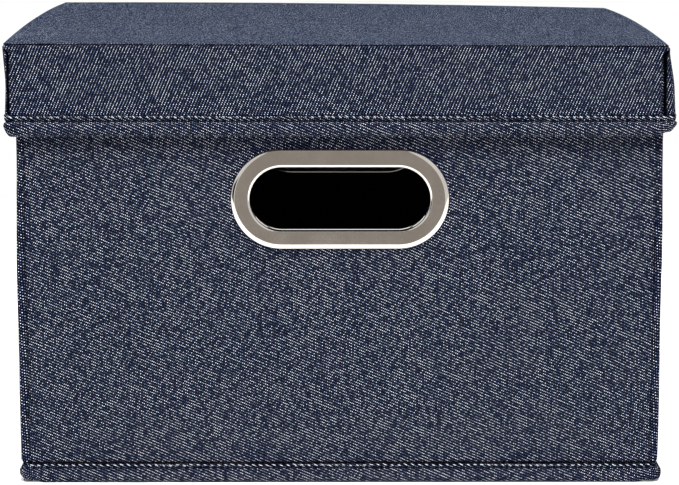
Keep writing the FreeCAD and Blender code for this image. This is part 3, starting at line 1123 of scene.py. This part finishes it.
HEM_SECTION = (
    (1.5, -0.2), (1.1, 0.4), (0.0, 0.4), (-1.2, 0.3), (-2.2, 0.0), (-2.9, -0.6), (-3.5, 0.5),
    (-4.2, 1.2), (-5.3, 1.6), (-7.0, 1.75), (-9.0, 1.55), (-10.4, 1.0), (-11.2, 0.1),
    (-11.5, -1.2), (-11.4, -3.0), (-10.8, -4.7), (-8.0, -3.8), (-4.0, -3.8), (0.0, -3.8),
)


def hem_point(station, spot, drop, stand):
    """A point of the lid's hem, lifted and drawn in at the corners and puckered by the stitches."""
    point, out = spot
    soft = corner_share(station, 8 * MM, 24 * MM)
    low = smoothstep(-drop / 11.0)
    lift = (0.85 + 1.35 * sign(point.x)) * MM * soft * low
    pull = (2.7 + 0.2 * sign(point.x)) * MM * soft * low ** 2
    pucker = 0.15 * MM * math.cos(2 * math.pi * station.along / STITCH_PITCH) * bell(drop, 2.4)
    wave = ripple(station.along, drop * MM, 51.0, 24 * MM, 0.4 * MM) * smoothstep(stand)
    inside = min(stand, 0.0) * (0.75 if soft > 0.5 else 1.0)
    moved = point + out * ((max(stand, 0.0) + inside) * MM - pull + pucker + wave)
    return Vector((moved.x, moved.y, LID_STITCH_Z + drop * MM + lift))


def lid_hem(material):
    """The band folded and sewn round the lips' lower edge."""
    cloth = folded_band(*hem_loop(), HEM_SECTION, hem_point)
    piece = cloth.object("lid_hem", material, "lid", "denim", thickness=0.4 * MM)
    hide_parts("lid_hem_band")


def hem_stitches(material):
    """Stitches through the lid's hem."""
    look = (4.06 * MM, 3.1 * MM, 0.29 * MM, -29)
    height = LID_STITCH_Z + 0.3 * MM
    stitch_row("hem_stitches", material, "lid", *hem_loop(), height, 0.2 * MM, look, 13)


# How far the lid's boards are drawn in under the settled cloth, and the clip at a lip's lower corners.
TOP_BOARD_SHARE = 0.99
LONG_LIP_SHARE = 0.965
SIDE_LIP_SHARE = 0.94
CLIP_LENGTH = 16 * MM
CLIP_HEIGHT = 14 * MM
CLIP_LIFT = 9 * MM
BOARD_THIN = 10 * MM


def lid_board(node, material):
    """One stiff board of the lid, lying as the lid lies, with its lower corners clipped."""
    low, high = (Vector(corner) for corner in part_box(node))
    size = high - low
    lip = size.z > BOARD_THIN
    side_lip = lip and size.y > size.x
    long_axis = 1 if side_lip else 0
    shares = Vector((TOP_BOARD_SHARE, TOP_BOARD_SHARE, 1.0))
    if lip:
        shares = Vector((1.0, SIDE_LIP_SHARE, 1.0)) if side_lip else Vector((LONG_LIP_SHARE, 1.0, 1.0))
    work = bmesh.new()
    bmesh.ops.create_cube(work, size=1.0)
    for axis in range(3):
        if size[axis] > BOARD_THIN:
            edges = [e for e in work.edges if abs((e.verts[0].co - e.verts[1].co)[axis]) > 0.5]
            bmesh.ops.subdivide_edges(work, edges=edges, cuts=15, use_grid_fill=True)
    for vert in work.verts:
        spot = low + size * (vert.co + Vector((0.5, 0.5, 0.5)))
        if lip:
            end = size[long_axis] / 2 - abs(spot[long_axis])
            clip = smoothstep(1 - end / CLIP_LENGTH) * smoothstep(1 - (spot.z - low.z) / CLIP_HEIGHT)
            spot.z += CLIP_LIFT * clip
        vert.co = settle(spot * shares, float(side_lip))
    mesh = bpy.data.meshes.new(f"{node}_bent")
    work.to_mesh(mesh)
    work.free()
    piece = shown(f"{node}_bent", mesh, material)
    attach(piece, "lid")
    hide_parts(node)


def lid_lining(material):
    """Lining under the lid's top and inside its lips."""
    inner_x = LID_LINING_X - LINING_THICKNESS - 0.2 * MM
    inner_y = LID_LINING_Y - LINING_THICKNESS - 0.2 * MM
    loop = Loop(inner_x, inner_y, LID_LINING_RADIUS, 6 * MM, 2 * MM, 4 * MM, 6)
    rows = []
    coords = []
    top = LID_UNDERSIDE - 0.1 * MM
    steps = ((46, 0), (40, 0), (30, 0), (20, 0), (10, 0), (4, 0), (1.2, 0.2), (0.3, 0.9), (0, 2.5))
    for drop, inset in steps:
        ring = loop.ring(inner_x - inset * MM, inner_y - inset * MM, LID_LINING_RADIUS)
        rows.append([settle(point + Vector((0, 0, top - drop * MM)), 1.0) for point, _ in ring])
        coords.append(loop.flat(-drop * MM))
    for share in (0.9, 0.75, 0.55, 0.3, 0.08):
        radius = LID_LINING_RADIUS * share
        ring = loop.ring((inner_x - 2.5 * MM) * share, (inner_y - 2.5 * MM) * share, radius)
        row = []
        for point, _ in ring:
            swell = ripple(point.x, point.y, 61.0, 70 * MM, 0.5 * MM)
            row.append(settle(point + Vector((0, 0, top + swell - 0.3 * MM)), 1.0))
        rows.append(row)
        coords.append(level_flat(ring))
    rows, coords = turned_over(rows), turned_over(coords)
    cloth = Cloth(rows, coords, closed=True)
    cloth.cap(rows[-1], [(point.x, point.y) for point in rows[-1]])
    piece = cloth.object("lid_lining_cloth", material, "lid", "dark_lining", thickness=0.3 * MM)
    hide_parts("lid_lining")


# ======== Loose base board ========

def insert_sleeve(material):
    """Cloth sleeve sewn round the base board."""
    half_x, half_y = INSERT_HIGH[:2]
    middle = (INSERT_LOW[2] + INSERT_HIGH[2]) / 2
    half_z = (INSERT_HIGH[2] - INSERT_LOW[2]) / 2
    radius = 4 * MM
    loop = Loop(half_x, half_y, radius, 6 * MM, 2 * MM, 4 * MM, 5)
    sections = [(share, -1.0) for share in (0.05, 0.3, 0.55, 0.8, 0.95)]
    sections += [(1.0, height) for height in (-0.75, -0.2, 0.2, 0.75)]
    sections += [(share, 1.0) for share in (0.95, 0.8, 0.55, 0.3, 0.05)]
    rows = []
    coords = []
    for share, height in sections:
        inset = 0.4 * MM * abs(height) if share == 1.0 else 0.8 * MM
        ring = loop.ring((half_x - inset) * share, (half_y - inset) * share, radius * share)
        row = []
        for point, _ in ring:
            swell = ripple(point.x, point.y, 70.0 + height, 60 * MM, 0.25 * MM) if share < 1.0 else 0.0
            row.append(point + Vector((0, 0, middle + half_z * height + min(swell, 0.0))))
        rows.append(row)
        coords.append(level_flat(ring, 0.4 * height))
    cloth = Cloth(rows, coords, closed=True)
    cloth.cap(rows[0], coords[0], flip=True)
    cloth.cap(rows[-1], coords[-1])
    piece = cloth.object("insert_sleeve", material, "base_insert", "dark_lining")
    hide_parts("base_insert_cover")


def pull_tab(material):
    """Ribbon loop: two layers that meet in a soft fold at the free end."""
    length = TAB_HIGH[1] - TAB_LOW[1]
    half = (TAB_HIGH[0] - TAB_LOW[0]) / 2
    middle = (TAB_LOW[2] + TAB_HIGH[2]) / 2
    stand = (TAB_HIGH[2] - TAB_LOW[2]) / 2 - 0.1 * MM
    steps = 14
    section = [(k / steps, -1) for k in range(steps)]
    section += [(1.0, -0.5), (1.02, 0.0), (1.0, 0.5)]
    section += [(k / steps, 1) for k in reversed(range(steps))]
    places = [half * m / 4 for m in range(9)]
    rows = []
    coords = []
    for k, (share, height) in enumerate(section):
        z = middle + stand * height * (0.55 + 0.45 * smoothstep(share))
        y = TAB_LOW[1] + (length - 0.6 * MM) * share
        rows.append([Vector((place - half, y, z)) for place in places])
        coords.append([(place, k * 2.4 * MM) for place in places])
    cloth = Cloth(rows, coords)
    piece = cloth.object("pull_tab_ribbon", material, "pull_tab", "ribbon", thickness=0.25 * MM)
    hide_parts("base_pull_tab")


# ======== Stage ========

def floor():
    """Plain pale surface under the box."""
    mesh = bpy.data.meshes.new("floor")
    near, far, half = -0.92, 1.0, 4.0
    corners = [(-half, near, 0), (half, near, 0), (half, far, 0), (-half, far, 0)]
    mesh.from_pydata(corners, [], [(0, 1, 2, 3)])
    shown("floor", mesh, white_floor("floor_white"))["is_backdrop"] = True


def surround():
    """Light surround for the metal to mirror. A strip behind the camera is grey with a dark upper
    edge, and there is a dark gap low on the left. Matt surfaces get less light from it."""
    world = bpy.data.worlds.new("surround")
    bpy.context.scene.world = world
    g = Graph(world)
    x, y, z = g.split(g.add("ShaderNodeTexCoord").outputs["Generated"])
    ahead = g.math("LESS_THAN", y, 0.0)
    sideways = g.math("ABSOLUTE", g.plus(x, 0.04))
    front = g.times(g.remap(sideways, 0.32, 0.22, smooth=True), ahead, g.math("LESS_THAN", z, 0.93))
    grey = g.mix(g.math("LESS_THAN", z, 0.86), (0.03, 0.03, 0.03, 1), (0.41, 0.38, 0.35, 1))
    tone = g.mix(front, (1, 1, 1, 1), grey)
    aside = g.math("ABSOLUTE", g.plus(x, 0.68))
    gap = g.times(g.remap(aside, 0.22, 0.18, smooth=True), g.remap(z, 0.16, 0.11, smooth=True), ahead)
    backdrop = g.nodes["Background"]
    g.put(backdrop.inputs["Color"], g.mix(gap, tone, (0.02, 0.02, 0.02, 1)))
    diffuse = g.add("ShaderNodeLightPath").outputs["Is Diffuse Ray"]
    g.put(backdrop.inputs["Strength"], g.between(diffuse, 1.0, 0.36))


def lamps():
    """Large soft lamps that the metal does not mirror."""
    for name, place, size, power in (
        ("key", (0.1, -1.15, 2.1), (2.0, 1.1), 136.0),
        ("left_fill", (-1.7, -0.9, 1.1), (1.0, 1.4), 5.0),
        ("right_fill", (1.7, -0.8, 1.1), (1.0, 1.4), 5.0),
    ):
        light = bpy.data.lights.new(name, "AREA")
        light.shape = "RECTANGLE"
        light.size, light.size_y = size
        light.energy = power
        lamp = bpy.data.objects.new(name, light)
        lamp.location = place
        lamp.visible_glossy = False
        aim = Vector((0, 0, 0.15)) - Vector(place)
        lamp.rotation_euler = aim.to_track_quat("-Z", "Y").to_euler()
        bpy.context.scene.collection.objects.link(lamp)


def camera():
    """Slightly above the box, looking straight at its front."""
    lens = bpy.data.cameras.new("camera")
    lens.sensor_fit = "HORIZONTAL"
    lens.sensor_width = SENSOR_WIDTH
    lens.lens = CAMERA_LENS
    eye = bpy.data.objects.new("camera", lens)
    eye.location = CAMERA_PLACE
    eye.rotation_euler = (math.radians(90 - CAMERA_PITCH), 0, math.radians(CAMERA_YAW))
    bpy.context.scene.collection.objects.link(eye)
    bpy.context.scene.camera = eye


def paint_boards(material):
    """Gives the hidden boards their material; they keep their CAD shape."""
    for name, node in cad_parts.items():
        if "board" in name:
            node.data.materials.clear()
            node.data.materials.append(material)


def body_painted_shade():
    """Painted shade on the flat body cloth: dark lines in the creases beside the four corners and in the
    groove above the bottom band.
    """
    loop = body_loop()
    strips = [((0, BAND_STITCH_Z / MM + 1.6), (ALL_ALONG, 0.74), PAINTED_SEAM_SHADE)]
    for part in (1, 3, 5, 7):
        arc = [station.along for station in loop.stations if station.part == part]
        for at in (arc[0] - CREASE_INSET, arc[0] + CORNER_RADIUS * math.pi / 2 + CREASE_INSET):
            strips.append(((at / MM, 0), (0.5, ALL_ALONG), PAINTED_CREASE_SHADE))
    return strips


def band_painted_shade(lower):
    """Painted shade on a folded band: dark lines in the grooves above and below its stitches, and lighter
    painted shade on the cloth under them.
    """
    return [
        ((0, -0.4), (ALL_ALONG, 0.62), PAINTED_SEAM_SHADE),
        ((0, -lower), (ALL_ALONG, 0.6), PAINTED_FOLD_SHADE),
        ((0, -2.0), (ALL_ALONG, 1.2), PAINTED_STITCH_BED_SHADE),
    ]


def lid_painted_light_and_shade():
    """Painted light and shade on the flat lid cloth: the top tinted bluer for the light it catches when
    seen edge-on, dark lines of painted shade at its edge, and painted shade in the tucks.
    """
    fold_x = (LID_X + 0.1 * LID_EDGE_RADIUS) / MM
    fold_y = (LID_Y + 0.1 * LID_EDGE_RADIUS) / MM
    tuck_x = (LIP_END_X + TUCK_OFFSET) / MM - 0.8
    tuck_y = (LIP_END_Y + TUCK_OFFSET) / MM + 0.3
    lip_middle, lip_half = 30, 26
    lip_x, lip_y = LID_X / MM + lip_middle, LID_Y / MM + lip_middle
    strips = [((0, 0), (fold_x, fold_y), PAINTED_TOP_LIGHT)]
    for side in (-1, 1):
        strips.append(((side * fold_x, 0), (0.78, ALL_ALONG), PAINTED_SEAM_SHADE))
        strips.append(((0, side * fold_y), (ALL_ALONG, 0.78), PAINTED_SEAM_SHADE))
        # Painted shade: the corner tucks are darkened as if deep in shadow.
        strips.append(((side * tuck_x, -side * lip_y), (4.6, lip_half), PAINTED_TUCK_SHADE))
        strips.append(((side * lip_x, side * tuck_y), (lip_half, 1.5), PAINTED_TUCK_SHADE))
    return strips


def build():
    scene = bpy.context.scene
    scene.view_settings.view_transform = "Standard"
    camera()
    floor()
    surround()
    lamps()
    body_cloth = denim("denim_body", strips=body_painted_shade())
    lid_cloth = denim("denim_lid", turned=True, shift=57.0, strips=lid_painted_light_and_shade())
    band_cloth = denim("denim_band", shift=131.0, strips=band_painted_shade(3.4))
    hem_cloth = denim("denim_hem", shift=93.0, strips=band_painted_shade(4.2))
    dark_cloth = nonwoven("lining_cloth", (0.008, 0.009, 0.011, 1), (0.035, 0.038, 0.045, 1))
    thread_white = thread("thread_white")
    metal = chrome("plated_metal")

    board = grey_board("grey_board")
    paint_boards(board)
    body_denim(body_cloth)
    body_lining(dark_cloth)
    bottom_cloth(dark_cloth)
    bottom_band(band_cloth)
    bottom_stitches(thread_white)
    rim_stitches(thread_white)
    handles(metal)
    for node in ("top", "front_lip", "back_lip", "left_lip", "right_lip"):
        lid_board(f"lid_{node}_board", board)
    lid_denim(lid_cloth)
    lid_hem(hem_cloth)
    hem_stitches(thread_white)
    lid_lining(dark_cloth)
    insert_sleeve(dark_cloth)
    pull_tab(ribbon("ribbon_black"))


build()

boxes = {"cad": CAD_BOX, "visual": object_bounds()}
{key: [[float(v) for v in corner] for corner in box] for key, box in boxes.items()}
